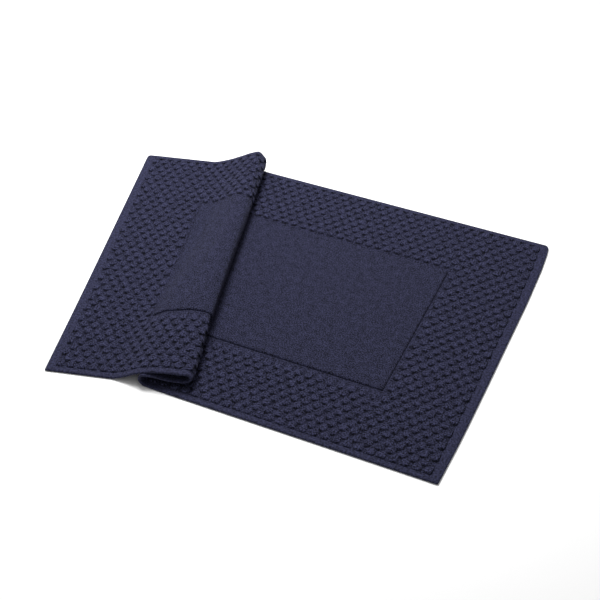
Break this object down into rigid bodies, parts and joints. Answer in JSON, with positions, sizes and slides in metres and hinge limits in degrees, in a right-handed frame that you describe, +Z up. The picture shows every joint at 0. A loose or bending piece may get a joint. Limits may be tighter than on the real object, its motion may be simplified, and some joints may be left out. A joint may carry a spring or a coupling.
{
  "type": "bath mat",
  "caption": "Rectangular woven terry bath mat with a plain panel, a raised bumpy border and turned hems, lying with one end folded back over itself.",
  "frame": {"origin": "on the floor, in the middle of the part of the mat that lies flat, on its underside", "axes": "+X along the mat towards the end that lies flat, +Y across the mat away from the front edge, +Z up out of the floor"},
  "size_m": [0.6606, 0.5328, 0.036],
  "materials": {
    "border_terry": "raised bumps of cotton terry",
    "panel_terry": "short even cotton terry",
    "hem_weave": "flat woven, turned over and stitched",
    "sewing_thread": "twisted sewing thread"
  },
  "bodies": {
    "base": {"hem_front_base": "hem_weave", "hem_back_base": "hem_weave", "seam_front_base": "sewing_thread", "seam_back_base": "sewing_thread", "border_front_base": "border_terry", "border_back_base": "border_terry", "panel_base": "panel_terry", "border_right_end": "border_terry", "hem_right_end": "hem_weave", "seam_right_end": "sewing_thread"},
    "left_turn": {"hem_front_left_turn": "hem_weave", "hem_back_left_turn": "hem_weave", "seam_front_left_turn": "sewing_thread", "seam_back_left_turn": "sewing_thread", "border_front_left_turn": "border_terry", "border_back_left_turn": "border_terry", "panel_left_turn": "panel_terry"},
    "middle": {"hem_front_middle": "hem_weave", "hem_back_middle": "hem_weave", "seam_front_middle": "sewing_thread", "seam_back_middle": "sewing_thread", "border_front_middle": "border_terry", "border_back_middle": "border_terry", "panel_middle": "panel_terry"},
    "right_turn": {"hem_front_right_turn": "hem_weave", "hem_back_right_turn": "hem_weave", "seam_front_right_turn": "sewing_thread", "seam_back_right_turn": "sewing_thread", "border_front_right_turn": "border_terry", "border_back_right_turn": "border_terry", "panel_right_turn": "panel_terry"},
    "ramp": {"hem_front_ramp": "hem_weave", "hem_back_ramp": "hem_weave", "seam_front_ramp": "sewing_thread", "seam_back_ramp": "sewing_thread", "border_front_ramp": "border_terry", "border_back_ramp": "border_terry", "panel_ramp": "panel_terry", "border_inner_ramp": "border_terry"},
    "flap": {"hem_front_flap": "hem_weave", "hem_back_flap": "hem_weave", "seam_front_flap": "sewing_thread", "seam_back_flap": "sewing_thread", "border_left_end": "border_terry", "hem_left_end": "hem_weave", "seam_left_end": "sewing_thread"}
  },
  "joints": [
    {"name": "left_turn_lower_hinge", "type": "hinge", "parent": "base", "child": "left_turn", "pos_m": [-0.23315, 0, 0.00505], "axis": [0.1236, -0.9923, 0.0006], "range_deg": [0, 84]},
    {"name": "left_turn_upper_hinge", "type": "hinge", "parent": "left_turn", "child": "middle", "pos_m": [-0.23465, 0.00093, 0.013], "axis": [0.1264, -0.992, 0.0079], "range_deg": [0, 98.6]},
    {"name": "right_turn_lower_hinge", "type": "hinge", "parent": "middle", "child": "right_turn", "pos_m": [-0.2028, 0.01103, 0.01495], "axis": [0.2446, -0.9696, -0.0054], "range_deg": [-100.6, 0]},
    {"name": "right_turn_upper_hinge", "type": "hinge", "parent": "right_turn", "child": "ramp", "pos_m": [-0.20206, 0.01257, 0.0255], "axis": [0.25, -0.9682, -0.006], "range_deg": [-100.35, 0]},
    {"name": "ramp_foot_hinge", "type": "hinge", "parent": "ramp", "child": "flap", "pos_m": [-0.29451, -0.01015, 0.0032], "axis": [0.1986, -0.9801, 0], "range_deg": [0, 17.85]}
  ],
  "couplings": [
    {"joint": "left_turn_upper_hinge", "follows": "left_turn_lower_hinge", "ratio": 1.1726},
    {"joint": "right_turn_lower_hinge", "follows": "left_turn_lower_hinge", "ratio": -1.1964},
    {"joint": "right_turn_upper_hinge", "follows": "left_turn_lower_hinge", "ratio": -1.1935},
    {"joint": "ramp_foot_hinge", "follows": "left_turn_lower_hinge", "ratio": 0.2113}
  ]
}
